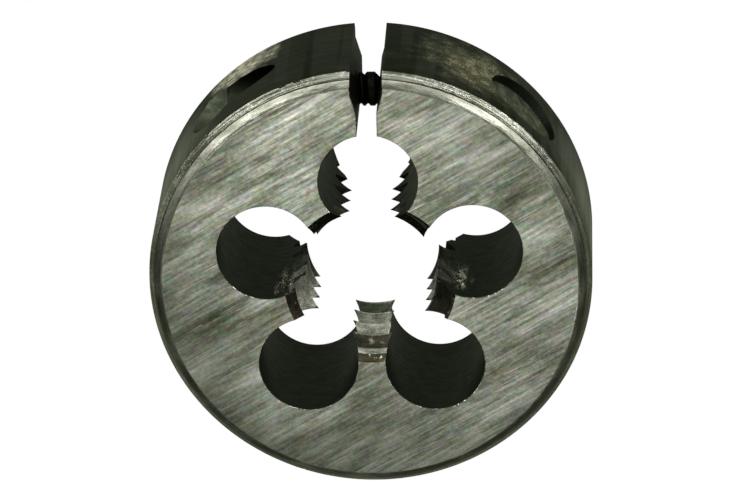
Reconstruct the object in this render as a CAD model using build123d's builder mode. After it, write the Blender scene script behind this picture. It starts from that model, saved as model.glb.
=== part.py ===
"""Round split threading die, one inch across, that cuts a 3/8-16 right-hand thread.

The die lies flat.  Its axis is +Z, the origin is the centre of its lower face, and the split
points to +Y.  The lower face is the starting side, with the longer lead into the thread.
"""
from build123d import *
from math import cos, radians, sin, tan
import os

os.makedirs("parts", exist_ok=True)

# Blank: a turned disc, chamfered all round on both faces
outside_diameter = 25.4
thickness = 9.525
chamfer_width = 0.8
chamfer_depth = 0.65

# Thread: 3/8 inch, 16 threads to the inch, right-hand
thread_major_diameter = 9.525
thread_minor_diameter = 7.58
thread_pitch = 1.5875
thread_root_flat = 0.4
thread_flank_angle = 30.0
thread_turn_gap = 0.02
thread_crest_height = 0.13

# Leads: cones that cut the first and last teeth back past the root of the thread
start_lead_diameter = 10.4
start_lead_depth = 3.3
finish_lead_diameter = 9.86
finish_lead_depth = 1.14

# Chip holes: they break into the bore and leave a toothed land between each two
chip_hole_count = 5
chip_hole_diameter = 5.7
chip_hole_circle_diameter = 12.4

# Split: a slit into the first chip hole, widened to a groove at the rim
slit_width = 1.15
split_groove_width = 1.85
split_groove_depth = 1.15
split_taper_depth = 1.2

# Adjusting screw: headless, slotted, with a cone point, lying across the slit
screw_diameter = 1.96
screw_length = 4.7
screw_rim_distance = 2.6
screw_point_angle = 45.0
screw_point_flat_diameter = 0.3
screw_seat_diameter = 1.47
screw_slot_width = 0.35
screw_slot_depth = 0.5
screw_edge_break = 0.12
screw_clearance = 0.03

# Access bore: the wider outer part of the screw's hole, open at the rim
access_diameter = 2.8
access_floor_distance = 3.0
access_floor_angle = 59.0

# Rim dimples: seats for the closing screws of the die stock, one each side of the split
dimple_angle = 45.0
cone_dimple_diameter = 4.0
cone_dimple_angle = 60.0
flat_dimple_diameter = 5.0
flat_dimple_depth = 0.6

# Places that follow from the sizes
outer_radius = outside_diameter / 2
middle = thickness / 2
minor_radius = thread_minor_diameter / 2
chip_hole_circle_radius = chip_hole_circle_diameter / 2
beyond = 1.0

# ----------------------------------------------------------------- thread groove
# The V of the thread with its flat root, wound on a helix at the root.  Its mouth is just
# short of the pitch, so that neighbouring turns do not touch, and it runs out past both faces.
# The odd quarter turn puts a tooth crest at the crest height on the land opposite the split.
groove_mouth = thread_pitch - thread_turn_gap
groove_height = (groove_mouth - thread_root_flat) / 2 / tan(radians(thread_flank_angle))
run_out = (2 + 1 / 4) * thread_pitch

with BuildPart() as thread_groove:
    with BuildLine():
        winding = Helix(
            pitch=thread_pitch,
            height=thickness + 2 * run_out,
            radius=thread_major_diameter / 2,
            center=(0, 0, thread_crest_height - run_out),
        )
    with BuildSketch(Plane(origin=winding @ 0, x_dir=(1, 0, 0), z_dir=(0, 1, 0))):
        with BuildLine():
            Polyline(
                (0, -thread_root_flat / 2),
                (-groove_height, -groove_mouth / 2),
                (-groove_height, groove_mouth / 2),
                (0, thread_root_flat / 2),
                close=True,
            )
        make_face()
    sweep(path=winding, is_frenet=True)

# --------------------------------------------------------------------- die body
# One piece of hardened tool steel.  It is cut in this order: pilot bore, chip holes, split,
# thread, bore and leads, the hole of the adjusting screw, and the two rim dimples.
pilot_radius = thread_major_diameter / 2 - groove_height - thread_root_flat / 2

slit_end = outer_radius - split_groove_depth - split_taper_depth
groove_end = outer_radius - split_groove_depth

screw_centre_radius = outer_radius - screw_rim_distance
screw_radius = screw_diameter / 2
screw_hole_radius = screw_radius + screw_clearance
screw_plane = Plane(origin=(0, screw_centre_radius, middle), x_dir=(1, 0, 0), z_dir=(0, 0, 1))
screw_axis = Axis(screw_plane.origin, screw_plane.x_dir)
point_slope = tan(radians(screw_point_angle))
point_apex = slit_width / 2 + screw_seat_diameter / 2 / point_slope
seat_apex = point_apex + screw_clearance / sin(radians(screw_point_angle))
access_radius = access_diameter / 2
access_cone_depth = (access_radius - screw_hole_radius) / tan(radians(access_floor_angle))

cone_side = Vector(-sin(radians(dimple_angle)), cos(radians(dimple_angle)), 0)
flat_side = Vector(sin(radians(dimple_angle)), cos(radians(dimple_angle)), 0)
cone_dimple_depth = cone_dimple_diameter / 2 / tan(radians(cone_dimple_angle))
cone_dimple_plane = Plane(
    origin=cone_side * outer_radius + Vector(0, 0, middle), x_dir=cone_side, z_dir=(0, 0, 1)
)
flat_dimple_plane = Plane(
    origin=flat_side * (outer_radius - flat_dimple_depth) + Vector(0, 0, middle),
    z_dir=flat_side,
)

with BuildPart() as die_body:
    with BuildSketch(Plane.XZ):
        with BuildLine():
            Polyline(
                (pilot_radius, 0),
                (outer_radius - chamfer_width, 0),
                (outer_radius, chamfer_depth),
                (outer_radius, thickness - chamfer_depth),
                (outer_radius - chamfer_width, thickness),
                (pilot_radius, thickness),
                close=True,
            )
        make_face()
    revolve(axis=Axis.Z)

    with BuildSketch():
        with PolarLocations(chip_hole_circle_radius, chip_hole_count, start_angle=90):
            Circle(chip_hole_diameter / 2)
    extrude(amount=thickness, mode=Mode.SUBTRACT)

    with BuildSketch():
        with BuildLine():
            Polyline(
                (-slit_width / 2, chip_hole_circle_radius),
                (-slit_width / 2, slit_end),
                (-split_groove_width / 2, groove_end),
                (-split_groove_width / 2, outer_radius + beyond),
                (split_groove_width / 2, outer_radius + beyond),
                (split_groove_width / 2, groove_end),
                (slit_width / 2, slit_end),
                (slit_width / 2, chip_hole_circle_radius),
                close=True,
            )
        make_face()
    extrude(amount=thickness, mode=Mode.SUBTRACT)

    add(thread_groove.part, mode=Mode.SUBTRACT)

    with BuildSketch(Plane.XZ):
        with BuildLine():
            Polyline(
                (0, -beyond),
                (start_lead_diameter / 2, -beyond),
                (start_lead_diameter / 2, 0),
                (minor_radius, start_lead_depth),
                (minor_radius, thickness - finish_lead_depth),
                (finish_lead_diameter / 2, thickness),
                (finish_lead_diameter / 2, thickness + beyond),
                (0, thickness + beyond),
                close=True,
            )
        make_face()
    revolve(axis=Axis.Z, mode=Mode.SUBTRACT)

    # hole of the adjusting screw: access bore, hole through to the slit, and cone seat
    with BuildSketch(screw_plane):
        with BuildLine():
            Polyline(
                (-outer_radius, 0),
                (-outer_radius, access_radius),
                (-access_floor_distance, access_radius),
                (-access_floor_distance + access_cone_depth, screw_hole_radius),
                (0, screw_hole_radius),
                (0, seat_apex * point_slope),
                (seat_apex, 0),
                close=True,
            )
        make_face()
    revolve(axis=screw_axis, mode=Mode.SUBTRACT)

    with BuildSketch(cone_dimple_plane):
        with BuildLine():
            Polyline(
                (-cone_dimple_depth, 0),
                (0, cone_dimple_diameter / 2),
                (beyond, cone_dimple_diameter / 2),
                (beyond, 0),
                close=True,
            )
        make_face()
    revolve(axis=Axis(cone_dimple_plane.origin, cone_side), mode=Mode.SUBTRACT)

    with BuildSketch(flat_dimple_plane):
        Circle(flat_dimple_diameter / 2)
    extrude(amount=flat_dimple_depth + beyond, mode=Mode.SUBTRACT)

die_body.part.label = "die_body"
export_step(die_body.part, "parts/die_body.step")

# -------------------------------------------------------------- adjusting screw
# Turned from steel rod: a slotted end towards the rim, and a cone point that wedges the slit.
point_flat_radius = screw_point_flat_diameter / 2
point_start = point_apex - screw_radius / point_slope
point_end = point_apex - point_flat_radius / point_slope
slotted_end = point_end - screw_length
slot_plane = Plane(
    origin=(slotted_end, screw_centre_radius, middle), x_dir=(0, 1, 0), z_dir=(1, 0, 0)
)

with BuildPart() as adjusting_screw:
    with BuildSketch(screw_plane):
        with BuildLine():
            Polyline(
                (slotted_end, 0),
                (slotted_end, screw_radius - screw_edge_break),
                (slotted_end + screw_edge_break, screw_radius),
                (point_start, screw_radius),
                (point_end, point_flat_radius),
                (point_end, 0),
                close=True,
            )
        make_face()
    revolve(axis=screw_axis)

    with BuildSketch(slot_plane):
        Rectangle(screw_diameter + beyond, screw_slot_width)
    extrude(amount=screw_slot_depth, mode=Mode.SUBTRACT)

adjusting_screw.part.label = "adjusting_screw"
export_step(adjusting_screw.part, "parts/adjusting_screw.step")
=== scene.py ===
from math import cos, hypot, pi, radians, sin, tan

import bmesh
import bpy
from mathutils import Matrix, Vector, noise


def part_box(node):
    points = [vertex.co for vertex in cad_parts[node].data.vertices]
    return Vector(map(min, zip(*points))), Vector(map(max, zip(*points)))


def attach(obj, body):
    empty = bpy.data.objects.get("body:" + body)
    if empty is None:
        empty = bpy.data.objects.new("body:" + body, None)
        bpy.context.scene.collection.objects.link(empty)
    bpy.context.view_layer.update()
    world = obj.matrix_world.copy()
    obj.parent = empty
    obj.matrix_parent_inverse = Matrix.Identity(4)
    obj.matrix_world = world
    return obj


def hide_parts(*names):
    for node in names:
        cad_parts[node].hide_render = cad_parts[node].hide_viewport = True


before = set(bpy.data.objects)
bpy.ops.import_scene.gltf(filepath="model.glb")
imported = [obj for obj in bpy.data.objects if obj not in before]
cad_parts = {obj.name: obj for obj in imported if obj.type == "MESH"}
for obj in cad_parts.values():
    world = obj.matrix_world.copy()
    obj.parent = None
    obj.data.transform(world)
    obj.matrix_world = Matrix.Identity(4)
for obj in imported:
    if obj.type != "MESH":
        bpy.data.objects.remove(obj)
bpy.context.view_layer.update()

MM = 0.001
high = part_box("die_body")[1]
outer_radius = high.x / MM
thickness = high.z / MM
middle = thickness / 2

# Blank: chamfers with a worn band and a small step, in millimetres like every size below
chamfer_width = 0.8
chamfer_depth = 0.76
band_width = 0.44
band_depth = 0.3
step_width = 0.03
step_depth = 0.08
edge_break = 0.04
face_edge = outer_radius - chamfer_width
band_end = face_edge + band_width
step_outside = band_end + step_width
blank_steps = 360
edge_wander = 0.0015
edge_wander_grain = 3

# Thread and leads.  The odd quarter turn puts a crest at the crest height on the bottom land.
pitch = 1.5875
root_flat = 0.4
turn_gap = 0.02
flank_angle = radians(30)
crest_height = 0.13
crest_radius = 3.79
root_radius = 4.7625
start_lead_radius = 5.2
start_lead_depth = 3.3
finish_lead_radius = 4.93
finish_lead_depth = 1.14
pilot_radius = 3.3
run_out_turns = 2 + 1 / 4
turns_beyond = 4
thread_steps = 120
bore_steps = 240

# Chip holes
hole_count = 5
hole_radius = 2.85
hole_circle = 6.2
hole_mouth = 0.03
hole_steps = 128
mouth_wander = 0.008
mouth_wander_grain = 1.3
mouth_wander_apart = 7

# Split: a slit that widens to a groove at the rim
slit_half_width = 0.575
slit_mouth = 0.04
groove_half_width = 0.925
groove_depth = 1.15
taper_depth = 1.2
groove_end = outer_radius - groove_depth
slit_end = groove_end - taper_depth

# Hole of the adjusting screw, with the access bore at the rim and the seat for its point
screw_rim_distance = 2.6
screw_y = outer_radius - screw_rim_distance
screw_hole_radius = 1.01
access_radius = 1.4
access_mouth_radius = 1.45
access_floor = 3.0
access_floor_end = 2.766
seat_start = 0.001
seat_apex = 1.352

# Seats in the rim, one each side of the split
dimple_angle = 45
cone_dimple_radius = 2.0
cone_dimple_angle = radians(60)
flat_dimple_radius = 2.5
flat_dimple_depth = 0.6
flat_dimple_foot_radius = 2.44
flat_dimple_foot_height = 0.04
seat_steps = 96

# Knocks in the upper chamfer: angle and radius of each, and how far out its centre lies
nicks = [(136, 0.3), (112.3, 0.22), (108.4, 0.18), (251, 0.2)]
nick_distance = 0.62

beyond = 1.0
touching = 1e-5


def solid(name, bm, place=Matrix()):
    """Turns a bmesh in millimetres into an object, faces outwards."""
    bmesh.ops.transform(bm, matrix=place, verts=bm.verts)
    bmesh.ops.remove_doubles(bm, verts=bm.verts, dist=touching)
    bmesh.ops.recalc_face_normals(bm, faces=bm.faces)
    mesh = bpy.data.meshes.new(name)
    bm.to_mesh(mesh)
    bm.free()
    made = bpy.data.objects.new(name, mesh)
    bpy.context.scene.collection.objects.link(made)
    return made


def turned(profile, steps, closed=False):
    """Spins a profile of (radius, height) points round the Z axis."""
    bm = bmesh.new()
    corners = [bm.verts.new((radius, 0, height)) for radius, height in profile]
    edges = [bm.edges.new(pair) for pair in zip(corners, corners[1:])]
    if closed:
        edges.append(bm.edges.new((corners[-1], corners[0])))
    bmesh.ops.spin(
        bm, geom=corners + edges, axis=(0, 0, 1), angle=2 * pi, steps=steps, use_merge=True
    )
    return bm


def screwed(profile, rise, turns, steps):
    """Winds a closed profile of (radius, height) points round the Z axis, rising each turn."""
    bm = bmesh.new()
    corners = [bm.verts.new((radius, 0, height)) for radius, height in profile]
    edges = [bm.edges.new(pair) for pair in zip(corners, corners[1:] + corners[:1])]
    bmesh.ops.spin(
        bm, geom=corners + edges, axis=(0, 0, 1), dvec=(0, 0, rise / steps),
        angle=2 * pi * turns, steps=int(turns * steps),
    )
    ends = [edge for edge in bm.edges if edge.is_boundary]
    bmesh.ops.holes_fill(bm, edges=ends, sides=len(profile))
    return bm


def cut(body, *cutters):
    """Cuts solids out of a body, one after another."""
    for cutter in cutters:
        modifier = body.modifiers.new("cut", "BOOLEAN")
        modifier.operation = "DIFFERENCE"
        modifier.solver = "MANIFOLD"
        modifier.object = cutter
        shaped = bpy.data.meshes.new_from_object(
            body.evaluated_get(bpy.context.evaluated_depsgraph_get())
        )
        body.modifiers.clear()
        body.data = shaped
        bpy.data.objects.remove(cutter)


def blank():
    """The turned disc: round each face a worn band, a small step, and the rest of the chamfer."""
    side = [
        (face_edge - edge_break / 2, 0),
        (face_edge + 3 * edge_break, edge_break),
        (band_end, band_depth),
        (step_outside, band_depth + step_depth),
        (outer_radius - edge_break, chamfer_depth - edge_break),
        (outer_radius, chamfer_depth + edge_break),
    ]
    upper_side = [(radius, thickness - height) for radius, height in reversed(side)]
    profile = [(pilot_radius, 0)] + side + upper_side + [(pilot_radius, thickness)]
    bm = turned(profile, blank_steps, closed=True)
    roughen(bm)
    return solid("die_body_detailed", bm)


def roughen(bm):
    """Makes the turned edges slightly uneven, as hardening and handling leave them."""
    for vertex in bm.verts:
        radius = vertex.co.xy.length
        if face_edge < radius < outer_radius - touching:
            vertex.co.xy *= 1 + edge_wander * noise.noise(vertex.co * edge_wander_grain)


def hole_angle(index):
    """The angle of a chip hole; the first lies in the split."""
    return radians(90 + 360 / hole_count * index)


def chip_hole(index):
    """A drill through the disc, with the edges of the hole broken unevenly."""
    mouth_radius = hole_radius + hole_mouth
    profile = [
        (0, -beyond),
        (mouth_radius, -beyond),
        (mouth_radius, 0),
        (hole_radius, hole_mouth),
        (hole_radius, thickness - hole_mouth),
        (mouth_radius, thickness),
        (mouth_radius, thickness + beyond),
        (0, thickness + beyond),
    ]
    bm = turned(profile, hole_steps)
    apart = Vector((0, 0, mouth_wander_apart * index))
    for vertex in bm.verts:
        if vertex.co.xy.length > hole_radius + touching:
            wander = noise.noise(vertex.co * mouth_wander_grain + apart)
            vertex.co.xy *= 1 + mouth_wander * wander
    turn = Matrix.Rotation(hole_angle(index), 4, "Z")
    return solid("chip_hole", bm, turn @ Matrix.Translation((hole_circle, 0, 0)))


def split_cutter():
    """The slit with its tapered groove at the rim, its edges broken at both faces."""
    right_side = [
        (slit_half_width, hole_circle),
        (slit_half_width, slit_end),
        (groove_half_width, groove_end),
        (groove_half_width, outer_radius + beyond),
    ]
    left_side = [(-x, y) for x, y in reversed(right_side)]
    bm = bmesh.new()
    front = bm.faces.new([bm.verts.new((x, y, -beyond)) for x, y in right_side + left_side])
    levels = [
        (beyond, 0),
        (slit_mouth, -slit_mouth),
        (thickness - 2 * slit_mouth, 0),
        (slit_mouth, slit_mouth),
        (beyond, 0),
    ]
    for vertex in front.verts:
        vertex.co.x += slit_mouth if vertex.co.x > 0 else -slit_mouth
    for step, (rise, spread) in enumerate(levels):
        made = bmesh.ops.extrude_face_region(bm, geom=[front])["geom"]
        if step > 0:
            bmesh.ops.delete(bm, geom=[front], context="FACES_ONLY")
        front = next(item for item in made if isinstance(item, bmesh.types.BMFace))
        bmesh.ops.translate(bm, vec=(0, 0, rise), verts=front.verts)
        for vertex in front.verts:
            vertex.co.x += spread if vertex.co.x > 0 else -spread
    return solid("split_cutter", bm)


def thread_cutter():
    """The helical V groove of the thread, run out past both faces."""
    groove_mouth = pitch - turn_gap
    reach = root_radius - (groove_mouth - root_flat) / 2 / tan(flank_angle)
    start = crest_height - run_out_turns * pitch
    turns = thickness / pitch + turns_beyond
    profile = [
        (root_radius, start - root_flat / 2),
        (root_radius, start + root_flat / 2),
        (reach, start + groove_mouth / 2),
        (reach, start - groove_mouth / 2),
    ]
    return solid("thread_cutter", screwed(profile, pitch, turns, thread_steps))


def bore_cutter():
    """The bore that opens the thread, with the leads at its two ends."""
    profile = [
        (0, -beyond),
        (start_lead_radius, -beyond),
        (start_lead_radius, 0),
        (crest_radius, start_lead_depth),
        (crest_radius, thickness - finish_lead_depth),
        (finish_lead_radius, thickness),
        (finish_lead_radius, thickness + beyond),
        (0, thickness + beyond),
    ]
    return solid("bore_cutter", turned(profile, bore_steps))


def screw_hole_cutter():
    """Access bore from the rim, hole through the split, and cone seat of the adjusting screw."""
    profile = [
        (0, -outer_radius),
        (access_mouth_radius, -outer_radius),
        (access_radius, -access_floor),
        (screw_hole_radius, -access_floor_end),
        (screw_hole_radius, 0),
        (seat_apex, seat_start),
        (0, seat_apex),
    ]
    place = Matrix.Translation((0, screw_y, middle)) @ Matrix.Rotation(pi / 2, 4, "Y")
    return solid("screw_hole_cutter", turned(profile, seat_steps), place)


def rim_place(angle, distance):
    """The place whose Z axis points out of the rim, at an angle from the split."""
    turn = Matrix.Rotation(radians(90 + angle), 4, "Z")
    return turn @ Matrix.Translation((distance, 0, middle)) @ Matrix.Rotation(pi / 2, 4, "Y")


def cone_dimple_cutter():
    """A drill point's mark in the rim, for a closing screw of the die stock."""
    profile = [
        (0, -cone_dimple_radius / tan(cone_dimple_angle)),
        (cone_dimple_radius, 0),
        (cone_dimple_radius, beyond),
        (0, beyond),
    ]
    place = rim_place(dimple_angle, outer_radius)
    return solid("cone_dimple_cutter", turned(profile, seat_steps), place)


def flat_dimple_cutter():
    """The flat-bottomed seat in the rim, on the other side of the split."""
    profile = [
        (0, -flat_dimple_depth),
        (flat_dimple_foot_radius, -flat_dimple_depth),
        (flat_dimple_radius, flat_dimple_foot_height - flat_dimple_depth),
        (flat_dimple_radius, beyond),
        (0, beyond),
    ]
    place = rim_place(-dimple_angle, outer_radius)
    return solid("flat_dimple_cutter", turned(profile, seat_steps), place)


def nick(angle, radius):
    """A small knock in the outer edge of the upper chamfer."""
    bm = bmesh.new()
    bmesh.ops.create_icosphere(bm, subdivisions=2, radius=radius)
    reach = outer_radius + nick_distance * radius
    place = (reach * cos(radians(angle)), reach * sin(radians(angle)), thickness - chamfer_depth)
    return solid("nick", bm, Matrix.Translation(place))


die_body = blank()
cut(die_body, *[chip_hole(i) for i in range(hole_count)])
cut(die_body, split_cutter(), thread_cutter(), bore_cutter())
cut(die_body, screw_hole_cutter(), cone_dimple_cutter(), flat_dimple_cutter())
cut(die_body, *[nick(angle, radius) for angle, radius in nicks])


# ---- finishes of the die body
def feed(tree, node, values):
    """Gives a node its inputs; each is a constant or the socket that feeds it."""
    for key, value in values.items():
        if isinstance(value, bpy.types.NodeSocket):
            tree.links.new(value, node.inputs[key])
        else:
            node.inputs[key].default_value = value


def add(tree, kind, values=None, **settings):
    """Adds a shader node with its settings and its inputs."""
    made = tree.nodes.new(kind)
    for key, value in settings.items():
        setattr(made, key, value)
    feed(tree, made, values or {})
    return made


def calc(tree, operation, first, second=0.0, clamp=False):
    """The result of a Math node."""
    values = {0: first, 1: second}
    return add(tree, "ShaderNodeMath", values, operation=operation, use_clamp=clamp).outputs[0]


def weighted(tree, first, *others):
    """The sum of (value, share) pairs, each value times its share."""
    total = calc(tree, "MULTIPLY", *first)
    for other in others:
        total = calc(tree, "ADD", total, calc(tree, "MULTIPLY", *other))
    return total


def blend(tree, kind, share, first, second):
    """The colour of a Mix node."""
    values = {0: share, 6: first, 7: second}
    return add(tree, "ShaderNodeMix", values, data_type="RGBA", blend_type=kind).outputs[2]


def cover(tree, colour, coat, mask, share=1.0):
    """A colour under a coat that lies where the mask is, thinned to a share."""
    return blend(tree, "MIX", calc(tree, "MULTIPLY", mask, share), colour, coat)


def stretched(tree, place, turn, scale):
    """Coordinates turned about Z and scaled, so that a pattern runs along one direction."""
    values = {"Vector": place, "Rotation": (0, 0, turn), "Scale": scale}
    return add(tree, "ShaderNodeMapping", values, vector_type="POINT").outputs[0]


def grain(tree, place, scale=1.0, detail=2.0, rough=0.5, output="Fac"):
    """The grey value or the colour of a noise."""
    values = {"Vector": place, "Scale": scale, "Detail": detail, "Roughness": rough}
    return add(tree, "ShaderNodeTexNoise", values).outputs[output]


def between(tree, value, start, end, low_value=0.0, high_value=1.0):
    """Stretches a value from one range to another, and clamps it."""
    values = {0: value, 1: start, 2: end, 3: low_value, 4: high_value}
    return add(tree, "ShaderNodeMapRange", values).outputs[0]


def ramp(tree, value, stops):
    """A colour ramp through (place, colour) stops."""
    made = add(tree, "ShaderNodeValToRGB", {"Fac": value})
    points = made.color_ramp.elements
    while len(points) < len(stops):
        points.new(0.5)
    for point, (place, colour) in zip(points, stops):
        point.position = place
        point.color = (*colour, 1)
    return made.outputs["Color"]


def effect(name, inputs, outputs):
    """A node group with named inputs and outputs; gives its tree, its start and its end."""
    tree = bpy.data.node_groups.new(name, "ShaderNodeTree")
    for label, kind in inputs:
        tree.interface.new_socket(label, in_out="INPUT", socket_type="NodeSocket" + kind)
    for label, kind in outputs:
        tree.interface.new_socket(label, in_out="OUTPUT", socket_type="NodeSocket" + kind)
    return tree, tree.nodes.new("NodeGroupInput").outputs, tree.nodes.new("NodeGroupOutput")


def grinding_effect():
    """Slanting scratches of a surface grinder, with broad patches and a faint coloured sheen."""
    tree, start, end = effect(
        "grinding_marks",
        [("Place", "Vector"), ("Slant", "Float")],
        [("Marks", "Float"), ("Patches", "Float"), ("Scratches", "Float"), ("Sheen", "Color")],
    )
    slanted = {"Vector": start["Place"], "Angle": start["Slant"]}
    slanted = add(tree, "ShaderNodeVectorRotate", slanted).outputs[0]
    fine = grain(tree, stretched(tree, slanted, 0, (0.55, 6.5, 1)), 1, 3, 0.6)
    medium = grain(tree, stretched(tree, slanted, 0, (0.5, 2.2, 1)), 1, 4, 0.6)
    broad = grain(tree, stretched(tree, slanted, 0, (0.2, 0.5, 1)), 1, 2, 0.5)
    pits = grain(tree, slanted, 5.0, 3, 0.6)
    long = grain(tree, stretched(tree, slanted, 0, (0.12, 3.4, 1)), 1, 3, 0.65)
    marks = weighted(tree, (fine, 0.36), (long, 0.26), (medium, 0.18), (pits, 0.2))
    lines = grain(tree, stretched(tree, slanted, 0, (0.3, 11, 1)), 1, 2, 0.4)
    broken = grain(tree, stretched(tree, slanted, 0, (0.6, 1.2, 1)), 1, 1, 0.4)
    broken = between(tree, broken, 0.5, 0.62)
    lines = calc(tree, "MULTIPLY", between(tree, lines, 0.62, 0.78), broken)
    hues = grain(tree, stretched(tree, slanted, 0, (1.2, 3.2, 1)), 1, 3, 0.6, "Color")
    feed(tree, end, {"Marks": marks, "Patches": broad, "Scratches": lines, "Sheen": hues})
    return tree


def turning_effect():
    """Fine rings left by a turning tool about the Z axis, broken along the way round."""
    tree, start, end = effect(
        "turning_marks",
        [("Place", "Vector")],
        [("Rings", "Float"), ("Blotches", "Float"), ("Radius", "Float"), ("Turn", "Float")],
    )
    parts = add(tree, "ShaderNodeSeparateXYZ", {0: start["Place"]}).outputs
    flat_place = add(tree, "ShaderNodeCombineXYZ", {0: parts[0], 1: parts[1]}).outputs[0]
    radius = add(tree, "ShaderNodeVectorMath", {0: flat_place}, operation="LENGTH").outputs["Value"]
    angle = calc(tree, "ARCTAN2", parts[1], parts[0])
    along = calc(tree, "MULTIPLY", angle, 9.0)
    rolled = add(tree, "ShaderNodeCombineXYZ", {0: along, 1: radius, 2: parts[2]}).outputs[0]
    rings = grain(tree, stretched(tree, rolled, 0, (0.35, 9, 9)), 1, 3, 0.6)
    blotches = grain(tree, stretched(tree, rolled, 0, (0.5, 1.4, 1.4)), 1, 4, 0.65)
    turn = calc(tree, "DIVIDE", angle, 2 * pi)
    feed(tree, end, {"Rings": rings, "Blotches": blotches, "Radius": radius, "Turn": turn})
    return tree


def speckle_effect():
    """Small bright grains in clusters, more of them as the amount rises."""
    tree, start, end = effect(
        "speckle",
        [("Place", "Vector"), ("Size", "Float"), ("Amount", "Float")],
        [("Grains", "Float")],
    )
    frequency = calc(tree, "DIVIDE", 1.0, start["Size"])
    dots = grain(tree, start["Place"], frequency, 3, 0.7)
    clusters = grain(tree, start["Place"], calc(tree, "MULTIPLY", frequency, 0.17), 2, 0.5)
    clusters = calc(tree, "MULTIPLY", calc(tree, "SUBTRACT", clusters, 0.5), 0.6)
    raised = calc(tree, "ADD", calc(tree, "ADD", dots, clusters), start["Amount"])
    feed(tree, end, {"Grains": between(tree, raised, 0.62, 0.72)})
    return tree


def patch_effect():
    """A mask that fades, with a ragged edge, from a centre out to a radius."""
    tree, start, end = effect(
        "patch",
        [("Place", "Vector"), ("Centre", "Vector"), ("Radius", "Float"), ("Ragged", "Float")],
        [("Mask", "Float")],
    )
    ends = {0: start["Place"], 1: start["Centre"]}
    distance = add(tree, "ShaderNodeVectorMath", ends, operation="DISTANCE").outputs["Value"]
    share = calc(tree, "DIVIDE", distance, start["Radius"])
    ragged = calc(tree, "SUBTRACT", grain(tree, start["Place"], 1.1, 4, 0.65), 0.5)
    share = calc(tree, "ADD", share, calc(tree, "MULTIPLY", ragged, start["Ragged"]))
    feed(tree, end, {"Mask": between(tree, share, 0.3, 1.1, 1, 0)})
    return tree


grinding_marks = grinding_effect()
turning_marks = turning_effect()
speckle = speckle_effect()
patch = patch_effect()

# Where the skin is rubbed, torn or dirty, and where shade, shadow or sheen is painted: centre,
# radius and raggedness of the edge.  The two tears lie in coordinates that are stretched by the
# tear scale.
ragged = 1.8
even = 0.5
tear_scale = Vector((1.6, 1, 0.45))
worn_places = {
    "straw": ((6.1, 11.1, 4.6), 3.6, ragged),
    "frayed_strip": ((-7.5, 10.25, 1.5), 2.5, ragged),
    "burr": ((-8.33, 9.58, 3.5), 1.0, ragged),
    # Painted sheen: the rim made lighter on both sides, where the steel would reflect the light.
    "sheen_right": ((12.4, 2.2, 5.2), 5.6, even),
    "sheen_left": ((-11.6, 5.0, 6.5), 5.2, even),
    # Painted shadow: one end of the cone seat, where its side lies in shade.
    "shaded_seat": ((-10.1, 7.6, 5.4), 1.5, even),
    "torn_right": (Vector((5.05, -0.8, 6.6)) * tear_scale, 1.15, ragged),
    "torn_left": (Vector((-4.85, -0.72, 7.4)) * tear_scale, 1.2, ragged),
    "first_hole": ((0, hole_circle + 0.8, 7.5), 5.0, even),
    # Painted shade: the walls of the access bore darkened nearly to black, as shade falls deep in
    # it.
    "shaded_access_bore": ((-6.0, screw_y, middle), 4.5, even),
    "bottom_land": ((0, -4.5, 8.5), 3.4, ragged),
    "right_land": ((4.3, -1.4, 8.6), 2.2, even),
}


def use(tree, group, **values):
    """Places an effect and gives its outputs."""
    return add(tree, "ShaderNodeGroup", values, node_tree=group).outputs


def grains_on(tree, place, size, amount):
    """The mask of small bright grains."""
    return use(tree, speckle, Place=place, Size=size, Amount=amount)["Grains"]


def worn_at(tree, place, name):
    """The mask of one of the worn places."""
    centre, radius, raggedness = worn_places[name]
    values = {"Place": place, "Centre": centre, "Radius": radius, "Ragged": raggedness}
    return use(tree, patch, **values)["Mask"]


def finish(name):
    """A new material: its tree, its shader and the place on the piece in millimetres."""
    made = bpy.data.materials.new(name)
    made.use_nodes = True
    tree = made.node_tree
    metres = {0: add(tree, "ShaderNodeTexCoord").outputs["Object"], "Scale": 1 / MM}
    place = add(tree, "ShaderNodeVectorMath", metres, operation="SCALE").outputs[0]
    return made, tree, tree.nodes["Principled BSDF"], place


def surface(tree, shader, colour, roughness, relief, depth, metallic=1.0):
    """Feeds the shader: colour, roughness, metal, and relief of a depth in millimetres."""
    values = {"Height": relief, "Distance": depth * MM, "Strength": 1.0}
    normal = add(tree, "ShaderNodeBump", values).outputs[0]
    feed(tree, shader, {
        "Base Color": colour, "Roughness": roughness, "Normal": normal, "Metallic": metallic,
    })


def ground_steel():
    """The two faces: bright steel with slanting marks and an olive, rose and blue sheen."""
    made, tree, shader, place = finish("ground_steel")
    grinding_slant = radians(-30)
    marks = use(tree, grinding_marks, Place=place, Slant=grinding_slant)
    tone = calc(tree, "SUBTRACT", marks["Marks"], 0.5)
    tone = calc(tree, "ADD", calc(tree, "MULTIPLY", tone, 2.5), 0.47)
    patches = calc(tree, "SUBTRACT", marks["Patches"], 0.5)
    tone = calc(tree, "ADD", tone, patches, clamp=True)
    colour = ramp(tree, tone, [
        (0.0, (0.07, 0.076, 0.048)),
        (0.3, (0.187, 0.196, 0.15)),
        (0.5, (0.32, 0.329, 0.276)),
        (0.72, (0.51, 0.512, 0.46)),
        (1.0, (0.81, 0.8, 0.77)),
    ])
    colour = blend(tree, "SOFT_LIGHT", 0.5, colour, marks["Sheen"])
    bare_steel = (0.85, 0.84, 0.78, 1)
    colour = cover(tree, colour, bare_steel, marks["Scratches"], 0.6)
    roughness = between(tree, marks["Marks"], 0.3, 0.7, 0.46, 0.3)
    surface(tree, shader, colour, roughness, marks["Marks"], 0.03)
    return made


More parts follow.
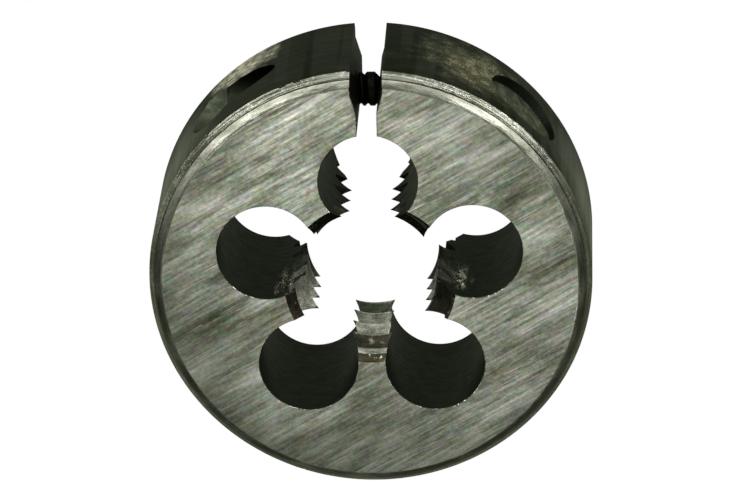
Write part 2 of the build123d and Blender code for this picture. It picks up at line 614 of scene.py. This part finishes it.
def turned_steel():
    """The chamfers: turning rings under a torn, granular skin, with painted shade in the step."""
    made, tree, shader, place = finish("turned_steel")
    rings = use(tree, turning_marks, Place=place)
    grains = grains_on(tree, place, 0.2, 0.06)
    tone = weighted(tree, (rings["Rings"], 0.55), (grains, 0.12), (rings["Blotches"], 0.4))
    colour = ramp(tree, tone, [
        (0.34, (0.2, 0.215, 0.16)),
        (0.5, (0.5, 0.51, 0.42)),
        (0.66, (0.95, 0.94, 0.85)),
    ])
    # Painted shade: a dark ring laid in the step of the chamfer, where shade would fall.
    painted_step_shade = (0.05, 0.055, 0.035, 1)
    step_shade_width = 0.08
    shaded_step = between(tree, rings["Radius"], step_outside, step_outside + step_shade_width, 0.8, 0)
    colour = cover(tree, colour, painted_step_shade, shaded_step)
    roughness = between(tree, rings["Blotches"], 0.3, 0.7, 0.2, 0.34)
    surface(tree, shader, colour, roughness, tone, 0.05)
    return made


def worn_edge():
    """The bands next to the faces, rubbed bright, with dark grains of the old skin."""
    made, tree, shader, place = finish("worn_edge")
    rings = use(tree, turning_marks, Place=place)
    colour = ramp(tree, rings["Blotches"], [
        (0.34, (0.15, 0.16, 0.115)),
        (0.5, (0.3, 0.306, 0.25)),
        (0.66, (0.62, 0.61, 0.53)),
    ])
    old_skin = (0.12, 0.125, 0.085, 1)
    colour = cover(tree, colour, old_skin, grains_on(tree, place, 0.14, 0.05), 0.55)
    roughness = between(tree, rings["Rings"], 0.3, 0.7, 0.2, 0.32)
    surface(tree, shader, colour, roughness, rings["Blotches"], 0.05)
    return made


def broken_edge():
    """The broken edges of the holes: dark skin torn through in bright specks."""
    made, tree, shader, place = finish("broken_edge")
    grains = grains_on(tree, place, 0.2, 0.1)
    skin = (0.07, 0.08, 0.05, 1)
    torn_steel = (0.8, 0.79, 0.7, 1)
    colour = cover(tree, skin, torn_steel, grains)
    roughness = between(tree, grains, 0, 1, 0.45, 0.3)
    surface(tree, shader, colour, roughness, grains, 0.02)
    return made


def dark_rim():
    """The rim: blackened skin, rubbed straw and a painted sheen beside the seats, and frayed at the
    bore.
    """
    made, tree, shader, place = finish("dark_rim")
    rings = use(tree, turning_marks, Place=place)
    smears = grain(tree, place, 0.35, 4, 0.6)
    tone = calc(tree, "MULTIPLY", calc(tree, "ADD", rings["Blotches"], smears), 0.5)
    colour = ramp(tree, tone, [
        (0.3, (0.022, 0.027, 0.017)),
        (0.55, (0.045, 0.053, 0.035)),
        (0.75, (0.11, 0.122, 0.09)),
    ])
    straw_shadow = (0.11, 0.105, 0.055, 1)
    straw_light = (0.5, 0.47, 0.28, 1)
    straw = cover(tree, straw_shadow, straw_light, grains_on(tree, place, 0.11, 0.1))
    rubbed = calc(tree, "MULTIPLY", worn_at(tree, place, "straw"), 0.85)
    colour = cover(tree, colour, straw, rubbed)

    strip = worn_at(tree, place, "frayed_strip")
    frayed = calc(tree, "MAXIMUM", strip, worn_at(tree, place, "burr"))
    threads = grain(tree, stretched(tree, place, 0.35, (2.5, 2.5, 12)), 1, 3, 0.7)
    threads = calc(tree, "MULTIPLY", between(tree, threads, 0.46, 0.52), frayed)
    frayed_skin = (0.14, 0.13, 0.07, 1)
    frayed_steel = (1.0, 0.94, 0.72, 1)
    colour = cover(tree, colour, frayed_skin, frayed, 0.7)
    colour = cover(tree, colour, frayed_steel, threads)

    # Painted sheen: the rim made lighter on both sides, where the steel would reflect the light.
    sheen_right = worn_at(tree, place, "sheen_right")
    painted_sheen = calc(tree, "MAXIMUM", sheen_right, worn_at(tree, place, "sheen_left"))
    painted_sheen_colour = (0.56, 0.58, 0.49, 1)
    colour = cover(tree, colour, painted_sheen_colour, painted_sheen, 0.75)
    roughness = between(tree, rings["Rings"], 0.3, 0.7, 0.3, 0.5)
    dull = calc(tree, "MAXIMUM", rubbed, calc(tree, "MULTIPLY", frayed, 1.5), clamp=True)
    metallic = between(tree, dull, 0, 1, 1, 0.35)
    surface(tree, shader, colour, roughness, rings["Blotches"], 0.02, metallic)
    return made


def dark_seat():
    """The two seats in the rim: dull dark skin, faint marks of the drill's edge, painted shadow in
    one.
    """
    made, tree, shader, place = finish("dark_seat")
    swirl = grain(tree, stretched(tree, place, 0.7, (0.7, 3.5, 1.2)), 1, 4, 0.6)
    colour = ramp(tree, swirl, [
        (0.3, (0.045, 0.055, 0.03)),
        (0.5, (0.085, 0.1, 0.06)),
        (0.72, (0.18, 0.2, 0.14)),
    ])
    # Painted shadow: near black over one end of the cone seat, where its side lies in shade.
    painted_seat_shadow = (0.01, 0.012, 0.007, 1)
    colour = cover(tree, colour, painted_seat_shadow, worn_at(tree, place, "shaded_seat"), 0.9)
    roughness = between(tree, swirl, 0.3, 0.7, 0.45, 0.6)
    surface(tree, shader, colour, roughness, swirl, 0.02, 0.45)
    return made


def dark_hole():
    """The walls of the chip holes, the split and the bore: near black, torn beside two lands, with
    painted shade in the access bore.
    """
    made, tree, shader, place = finish("dark_hole")
    scores = grain(tree, stretched(tree, place, 0, (1.6, 1.6, 5)), 1, 4, 0.6)
    colour = ramp(tree, scores, [
        (0.3, (0.028, 0.033, 0.022)),
        (0.55, (0.038, 0.043, 0.03)),
        (0.75, (0.052, 0.058, 0.042)),
    ])
    scratches = grain(tree, stretched(tree, place, 0.5, (1.5, 6, 3)), 1, 3, 0.6)
    scratches = calc(tree, "MULTIPLY", between(tree, scratches, 0.45, 0.7), 0.5)
    scratches = calc(tree, "ADD", scratches, 0.35)
    greyer = calc(tree, "MULTIPLY", worn_at(tree, place, "first_hole"), scratches)
    grey_skin = (0.12, 0.13, 0.1, 1)
    painted_bore_shade = (0.006, 0.008, 0.004, 1)
    colour = cover(tree, colour, grey_skin, greyer)
    # Painted shade: the access bore darkened nearly to black, as shade falls deep in it.
    colour = cover(tree, colour, painted_bore_shade, worn_at(tree, place, "shaded_access_bore"), 0.65)

    chips = grains_on(tree, stretched(tree, place, 0, (1, 1, 0.35)), 0.06, 0.08)
    tears = stretched(tree, place, 0, tear_scale)
    tears = calc(
        tree, "MAXIMUM", worn_at(tree, tears, "torn_right"), worn_at(tree, tears, "torn_left")
    )
    torn = calc(tree, "MULTIPLY", chips, tears)
    torn_steel = (0.98, 0.94, 0.72, 1)
    colour = cover(tree, colour, torn_steel, torn)
    roughness = between(tree, scores, 0.3, 0.7, 0.5, 0.34)
    metallic = between(tree, torn, 0, 1, 1, 0)
    surface(tree, shader, colour, roughness, scores, 0.005, metallic)
    return made


def height_above_crest(tree, level, turn):
    """How far a point of the thread lies above the crest below it, in millimetres."""
    height = calc(tree, "SUBTRACT", level, calc(tree, "MULTIPLY", turn, pitch))
    height = calc(tree, "SUBTRACT", height, crest_height + pitch / 4)
    return calc(tree, "MODULO", calc(tree, "ADD", height, 2 * pitch), pitch)


def baked_flanks(tree, place, level, above_crest):
    """The mask of the last flanks of two lands, where the cutting oil has baked on."""
    bottom_root = (8.03, 8.07)
    right_root = (7.58, 7.64)
    flank_end = (0.42, 0.46)
    bottom = between(tree, worn_at(tree, place, "bottom_land"), 0.1, 0.3)
    bottom = calc(tree, "MULTIPLY", bottom, between(tree, level, *bottom_root))
    bottom = calc(tree, "MULTIPLY", bottom, between(tree, above_crest, *flank_end, 0.92, 0))
    right = between(tree, worn_at(tree, place, "right_land"), 0.1, 0.3)
    right = calc(tree, "MULTIPLY", right, between(tree, level, *right_root, 0, 0.92))
    return calc(tree, "MAXIMUM", bottom, right)


def thread_steel():
    """The toothed lands: rubbed crests, flanks bright above with painted shade below, two baked
    brown.
    """
    made, tree, shader, place = finish("thread_steel")
    rings = use(tree, turning_marks, Place=place)
    level = add(tree, "ShaderNodeSeparateXYZ", {0: place}).outputs[2]
    above_crest = height_above_crest(tree, level, rings["Turn"])
    painted_deep_shade = ramp(tree, rings["Blotches"], [
        (0.3, (0.03, 0.037, 0.024)),
        (0.7, (0.075, 0.088, 0.065)),
    ])
    bright = ramp(tree, rings["Blotches"], [
        (0.3, (0.14, 0.143, 0.11)),
        (0.5, (0.3, 0.305, 0.25)),
        (0.68, (0.56, 0.56, 0.48)),
    ])
    brown = ramp(tree, rings["Blotches"], [
        (0.3, (0.005, 0.0045, 0.002)),
        (0.6, (0.022, 0.018, 0.009)),
        (0.74, (0.4, 0.36, 0.24)),
    ])
    chips = (0.85, 0.83, 0.74, 1)
    crest_steel = (0.5, 0.49, 0.42, 1)
    # Painted shade: the flanks grow darker deeper in the bore, where less light reaches them.
    shade_below = 3.6
    shade_ends_above = 7.0
    out_of_shade = between(tree, level, shade_below, shade_ends_above)
    colour = cover(tree, painted_deep_shade, bright, out_of_shade)
    chipped = calc(tree, "MULTIPLY", out_of_shade, 0.45)
    colour = cover(tree, colour, chips, grains_on(tree, place, 0.1, 0.02), chipped)
    colour = cover(tree, colour, brown, baked_flanks(tree, place, level, above_crest))
    colour = cover(tree, colour, crest_steel, between(tree, above_crest, 0.02, 0.07, 0.7, 0))
    roughness = between(tree, rings["Rings"], 0.3, 0.7, 0.26, 0.42)
    surface(tree, shader, colour, roughness, rings["Blotches"], 0.05)
    return made


def lead_steel():
    """The cones at the ends of the bore: brown with baked oil, with chips of bright steel."""
    made, tree, shader, place = finish("lead_steel")
    rings = use(tree, turning_marks, Place=place)
    colour = ramp(tree, rings["Blotches"], [
        (0.3, (0.018, 0.015, 0.008)),
        (0.7, (0.09, 0.08, 0.05)),
    ])
    chips = (0.85, 0.82, 0.68, 1)
    colour = cover(tree, colour, chips, grains_on(tree, place, 0.22, 0.0), 0.8)
    roughness = between(tree, rings["Rings"], 0.3, 0.7, 0.26, 0.42)
    surface(tree, shader, colour, roughness, rings["Blotches"], 0.06)
    return made


finishes = [
    ground_steel(), turned_steel(), worn_edge(), broken_edge(),
    dark_rim(), dark_seat(), dark_hole(), thread_steel(), lead_steel(),
]
GROUND, TURNED, WORN, BROKEN, RIM, SEAT, HOLE, THREAD, LEAD = range(len(finishes))
hole_centres = [
    Matrix.Rotation(hole_angle(i), 2) @ Vector((hole_circle, 0))
    for i in range(hole_count)
]

# What tells a face: the slope of its normal, and the places that the seats reach to
level_face = 0.9999
chamfer_slope = 0.3
flank_slope = 0.75
seat_facing = 0.95
rim_zone = 10
access_side = -6
access_wall = 1.47
die_sharp_angle = radians(25)


def finish_of(centre, normal):
    """The finish of a face of the die body, told from where it lies and how it is turned."""
    radius = centre.xy.length
    hole_distance = min((centre.xy - hole).length for hole in hole_centres)
    near_face = min(centre.z, thickness - centre.z)
    if abs(normal.z) > level_face:
        return GROUND
    if radius > face_edge - edge_break and near_face < band_depth:
        return WORN
    if radius > face_edge and near_face < chamfer_depth and abs(normal.z) > chamfer_slope:
        return TURNED
    if hole_distance < hole_radius + 2 * hole_mouth:
        return BROKEN if near_face < hole_mouth else HOLE
    if radius < start_lead_radius:
        on_lead = near_face < finish_lead_depth and abs(normal.z) < flank_slope
        return LEAD if on_lead else THREAD
    if radius > outer_radius - touching or abs(radius - outer_radius) < edge_break:
        return RIM
    if near_face < slit_mouth:
        return BROKEN
    if centre.x > 0 and normal.xy.dot(centre.xy) > seat_facing * radius > rim_zone:
        return SEAT
    screw_distance = hypot(centre.y - screw_y, centre.z - middle)
    if centre.x < access_side and screw_distance > access_wall:
        return SEAT
    return HOLE


def complete(body, materials, place, sharp_angle, choose=lambda centre, normal: 0):
    """Gives a body its materials, its place in metres, and smooth faces between sharp edges."""
    body.data.materials.clear()
    for material in materials:
        body.data.materials.append(material)
    for polygon in body.data.polygons:
        polygon.material_index = choose(polygon.center, polygon.normal)
        polygon.use_smooth = True
    body.data.transform(Matrix.Scale(MM, 4) @ place)
    body.data.set_sharp_from_angle(angle=sharp_angle)


complete(die_body, finishes, Matrix(), die_sharp_angle, finish_of)
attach(die_body, "die")
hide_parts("die_body")

# =============================================================== adjusting screw
# A headless steel screw across the split, turned from rod, with a fine thread, a slot at one
# end and a cone point at the other that wedges the split open.  Black oxide all over.
screw_low, screw_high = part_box("adjusting_screw")
screw_length = (screw_high.x - screw_low.x) / MM
screw_radius = 0.98
screw_point_length = 0.83
screw_point_flat = 0.15
screw_edge_break = 0.12
screw_slot_width = 0.35
screw_slot_depth = 0.5
screw_pitch = 0.4
screw_thread_depth = 0.16
screw_groove_half = 0.46
screw_groove_over = 0.03
screw_steps = 64
screw_sharp_angle = radians(30)


def screw_blank():
    """The turned rod with its cone point."""
    profile = [
        (0, 0),
        (screw_radius - screw_edge_break, 0),
        (screw_radius, screw_edge_break),
        (screw_radius, screw_length - screw_point_length),
        (screw_point_flat, screw_length),
        (0, screw_length),
    ]
    return solid("adjusting_screw_detailed", turned(profile, screw_steps))


def screw_thread_cutter():
    """The fine V groove wound along the rod, short of the cone point."""
    outer = screw_radius + screw_groove_over
    half = screw_groove_half * screw_pitch
    profile = [(screw_radius - screw_thread_depth, 0), (outer, half), (outer, -half)]
    turns = int((screw_length - screw_point_length) / screw_pitch) + 1
    place = Matrix.Translation((0, 0, -screw_pitch))
    return solid("screw_thread_cutter", screwed(profile, screw_pitch, turns, screw_steps), place)


def screw_slot_cutter():
    """The saw cut for the screwdriver."""
    bm = bmesh.new()
    bmesh.ops.create_cube(bm, size=1)
    size = Matrix.Diagonal((screw_slot_width, 3 * screw_radius, 2 * screw_slot_depth, 1))
    return solid("screw_slot_cutter", bm, size)


def black_oxide():
    """Oiled black oxide, rubbed grey on the crests of the thread."""
    made, tree, shader, place = finish("black_oxide")
    wear = grain(tree, place, 4.0, 4, 0.6)
    colour = ramp(tree, wear, [
        (0.35, (0.006, 0.006, 0.005)),
        (0.6, (0.014, 0.015, 0.012)),
        (0.75, (0.06, 0.062, 0.052)),
    ])
    roughness = between(tree, wear, 0.3, 0.7, 0.42, 0.6)
    surface(tree, shader, colour, roughness, wear, 0.02)
    return made


adjusting_screw = screw_blank()
cut(adjusting_screw, screw_thread_cutter(), screw_slot_cutter())
screw_start = Matrix.Translation((screw_low.x / MM, screw_y, middle))
screw_place = screw_start @ Matrix.Rotation(pi / 2, 4, "Y")
complete(adjusting_screw, [black_oxide()], screw_place, screw_sharp_angle)
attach(adjusting_screw, "screw")
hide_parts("adjusting_screw")

# ======================================================== floor, lights and camera
# White paper lies under the die.  Five broad soft boxes stand low round the side of the split,
# three small ones hang high on the other side, and the camera looks steeply down on the upper
# face from the side of the split.
floor_half_width = 600
floor_drop = 0.02
floor_tint = (0.13, 0.148, 0.107, 1)
sky_tint = (0.93, 1, 0.84)
sky_rise = 0.55
horizon_glow = 0.08
zenith_glow = 0.5
white = (1, 1, 1, 1)


def seen_or_reflected(tree, reflected):
    """White as seen by the camera, dimmer in the reflections of the steel."""
    seen = add(tree, "ShaderNodeLightPath").outputs["Is Camera Ray"]
    return blend(tree, "MIX", seen, reflected, white)


floor_mesh = bmesh.new()
bmesh.ops.create_grid(floor_mesh, x_segments=1, y_segments=1, size=floor_half_width)
floor = solid("floor", floor_mesh, Matrix.Translation((0, 0, -floor_drop)))
floor.data.transform(Matrix.Scale(MM, 4))
paper = bpy.data.materials.new("paper")
paper.use_nodes = True
sheet = paper.node_tree
sheet.nodes.remove(sheet.nodes["Principled BSDF"])
glow = add(sheet, "ShaderNodeEmission", {"Color": seen_or_reflected(sheet, floor_tint)}).outputs[0]
clear = add(sheet, "ShaderNodeBsdfTransparent").outputs[0]
backfacing = add(sheet, "ShaderNodeNewGeometry").outputs["Backfacing"]
one_sided = add(sheet, "ShaderNodeMixShader", {0: backfacing, 1: glow, 2: clear}).outputs[0]
feed(sheet, sheet.nodes["Material Output"], {"Surface": one_sided})
floor.data.materials.append(paper)

studio = bpy.data.worlds.new("studio")
studio.use_nodes = True
sky = studio.node_tree
direction = add(sky, "ShaderNodeTexCoord").outputs["Generated"]
height = add(sky, "ShaderNodeSeparateXYZ", {0: direction}).outputs[2]
sky_glow = {0: sky_tint, "Scale": between(sky, height, sky_rise, 1, horizon_glow, zenith_glow)}
sky_glow = add(sky, "ShaderNodeVectorMath", sky_glow, operation="SCALE").outputs[0]
sky_colour = seen_or_reflected(sky, sky_glow)
feed(sky, sky.nodes["Background"], {"Color": sky_colour, "Strength": 1})
bpy.context.scene.world = studio


def softbox(name, azimuth, elevation, distance, width, height, power):
    """A soft box aimed at the die, in degrees, metres and watts."""
    around = radians(azimuth)
    lift = radians(elevation)
    target = Vector((0, 0, middle * MM))
    way = Vector((cos(lift) * cos(around), cos(lift) * sin(around), sin(lift)))
    lamp = bpy.data.lights.new(name, "AREA")
    lamp.shape = "RECTANGLE"
    lamp.size = width
    lamp.size_y = height
    lamp.energy = power
    box = bpy.data.objects.new(name, lamp)
    bpy.context.scene.collection.objects.link(box)
    turn = way.to_track_quat("Z", "Y").to_matrix().to_4x4()
    box.matrix_world = Matrix.Translation(target + distance * way) @ turn


# Name, azimuth, elevation, distance, width, height and power of each box
softboxes = [
    ("back_box", 90, 22, 0.3, 0.32, 0.3, 0.36),
    ("right_box", 40, 22, 0.3, 0.17, 0.3, 0.5),
    ("left_box", 136, 22, 0.3, 0.17, 0.3, 0.48),
    ("right_fill", 8, 20, 0.3, 0.14, 0.2, 0.022),
    ("left_fill", 172, 22, 0.3, 0.14, 0.25, 0.055),
    ("top_box", 215, 79, 0.1, 0.03, 0.025, 0.008),
    ("side_box", 297, 66, 0.107, 0.03, 0.025, 0.003),
    ("glint_box", 314, 74, 0.3, 0.04, 0.04, 0.008),
]
for row in softboxes:
    softbox(*row)

camera_tilt = radians(22.43)
camera_roll = radians(-5.23)
camera_turn = radians(6.1)
camera_shift = Vector((0.0041, 0.1343, -25.47)) * outer_radius * MM
camera_lens = 264.3
camera_sensor = 36
camera_nearest = 0.01
camera_data = bpy.data.cameras.new("camera")
camera_data.sensor_width = camera_sensor
camera_data.lens = camera_lens
camera_data.clip_start = camera_nearest
camera = bpy.data.objects.new("camera", camera_data)
bpy.context.scene.collection.objects.link(camera)
into_camera = (
    Matrix.Rotation(camera_roll, 3, "Z")
    @ Matrix.Rotation(camera_tilt, 3, "X")
    @ Matrix.Rotation(camera_turn, 3, "Z")
)
out_of_camera = into_camera.transposed()
camera.matrix_world = Matrix.Translation(-(out_of_camera @ camera_shift)) @ out_of_camera.to_4x4()
bpy.context.scene.camera = camera
bpy.context.scene.view_settings.view_transform = "Standard"
